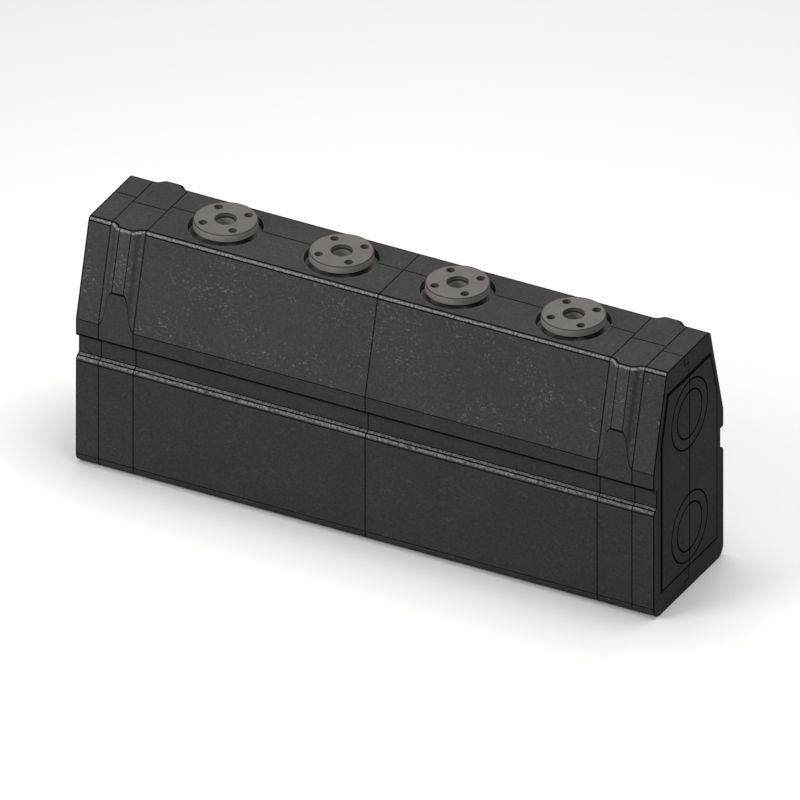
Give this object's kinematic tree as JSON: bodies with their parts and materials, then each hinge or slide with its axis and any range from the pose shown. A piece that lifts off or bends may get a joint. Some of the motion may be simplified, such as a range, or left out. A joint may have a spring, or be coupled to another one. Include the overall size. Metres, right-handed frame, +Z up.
{
  "type": "insulated heating distributor",
  "caption": "Insulated heating distributor: supply and return headers with flanged outlets on top, in a moulded foam jacket whose halves pull off to the front and rear.",
  "frame": {"origin": "bottom centre of the jacket, under the middle joint", "axes": "+X along the headers towards the closed ends, +Y to the rear, +Z up"},
  "size_m": [1.5, 0.338, 0.646],
  "materials": {
    "foam": "matte",
    "pipe_steel": "matte",
    "flange_steel": "satin"
  },
  "bodies": {
    "manifold": {"header_supply": "pipe_steel", "header_return": "pipe_steel", "header_head_supply": "pipe_steel", "header_head_return": "pipe_steel", "outlet_pipe_1": "pipe_steel", "outlet_pipe_2": "pipe_steel", "outlet_pipe_3": "pipe_steel", "outlet_pipe_4": "pipe_steel", "flange_1": "flange_steel", "flange_2": "flange_steel", "flange_3": "flange_steel", "flange_4": "flange_steel"},
    "shell_front_left": {"shell_front_left": "foam"},
    "end_front_left": {"ring_front_left": "foam", "end_cap_front_left": "foam"},
    "shell_rear_left": {"shell_rear_left": "foam"},
    "end_rear_left": {"ring_rear_left": "foam", "end_cap_rear_left": "foam"},
    "shell_front_right": {"shell_front_right": "foam"},
    "end_front_right": {"ring_front_right": "foam", "end_cap_front_right": "foam"},
    "shell_rear_right": {"shell_rear_right": "foam"},
    "end_rear_right": {"ring_rear_right": "foam", "end_cap_rear_right": "foam"}
  },
  "joints": [
    {"name": "shell_front_left_pull", "type": "slide", "parent": "manifold", "child": "shell_front_left", "axis": [0, -1, 0], "range_m": [0, 0.35]},
    {"name": "end_front_left_pull", "type": "slide", "parent": "manifold", "child": "end_front_left", "axis": [0, -1, 0], "range_m": [0, 0.35]},
    {"name": "shell_rear_left_pull", "type": "slide", "parent": "manifold", "child": "shell_rear_left", "axis": [0, 1, 0], "range_m": [0, 0.35]},
    {"name": "end_rear_left_pull", "type": "slide", "parent": "manifold", "child": "end_rear_left", "axis": [0, 1, 0], "range_m": [0, 0.35]},
    {"name": "shell_front_right_pull", "type": "slide", "parent": "manifold", "child": "shell_front_right", "axis": [0, -1, 0], "range_m": [0, 0.35]},
    {"name": "end_front_right_pull", "type": "slide", "parent": "manifold", "child": "end_front_right", "axis": [0, -1, 0], "range_m": [0, 0.35]},
    {"name": "shell_rear_right_pull", "type": "slide", "parent": "manifold", "child": "shell_rear_right", "axis": [0, 1, 0], "range_m": [0, 0.35]},
    {"name": "end_rear_right_pull", "type": "slide", "parent": "manifold", "child": "end_rear_right", "axis": [0, 1, 0], "range_m": [0, 0.35]}
  ]
}
